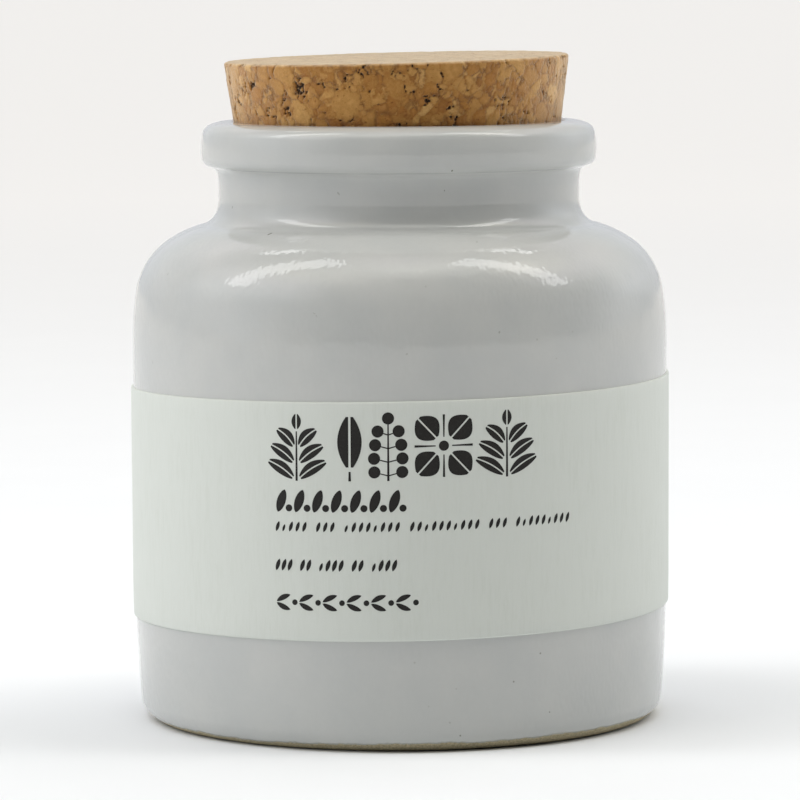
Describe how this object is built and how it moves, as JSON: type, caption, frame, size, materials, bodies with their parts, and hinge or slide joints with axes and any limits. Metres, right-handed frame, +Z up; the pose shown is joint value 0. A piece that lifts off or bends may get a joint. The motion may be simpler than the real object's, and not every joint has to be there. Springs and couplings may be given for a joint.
{
  "type": "stoneware mustard jar",
  "caption": "Squat glazed stoneware jar for mustard, with a rounded shoulder, short neck and thick rim, shut with a tapered cork and wrapped in a paper label.",
  "frame": {"origin": "centre of the foot, on the surface that the jar stands on", "axes": "+Z up along the jar's axis; the printed front faces -Y; +X is to the right as seen from the front"},
  "size_m": [0.082, 0.0819, 0.101],
  "materials": {
    "glazed_stoneware": "glossy pale grey glaze with an unglazed olive-brown foot",
    "granulated_cork": "dull pressed cork granules",
    "label_paper": "matt pale laid paper with dark print"
  },
  "bodies": {
    "root": {"jar": "glazed_stoneware", "cork": "granulated_cork", "label": "label_paper"}
  },
  "joints": []
}
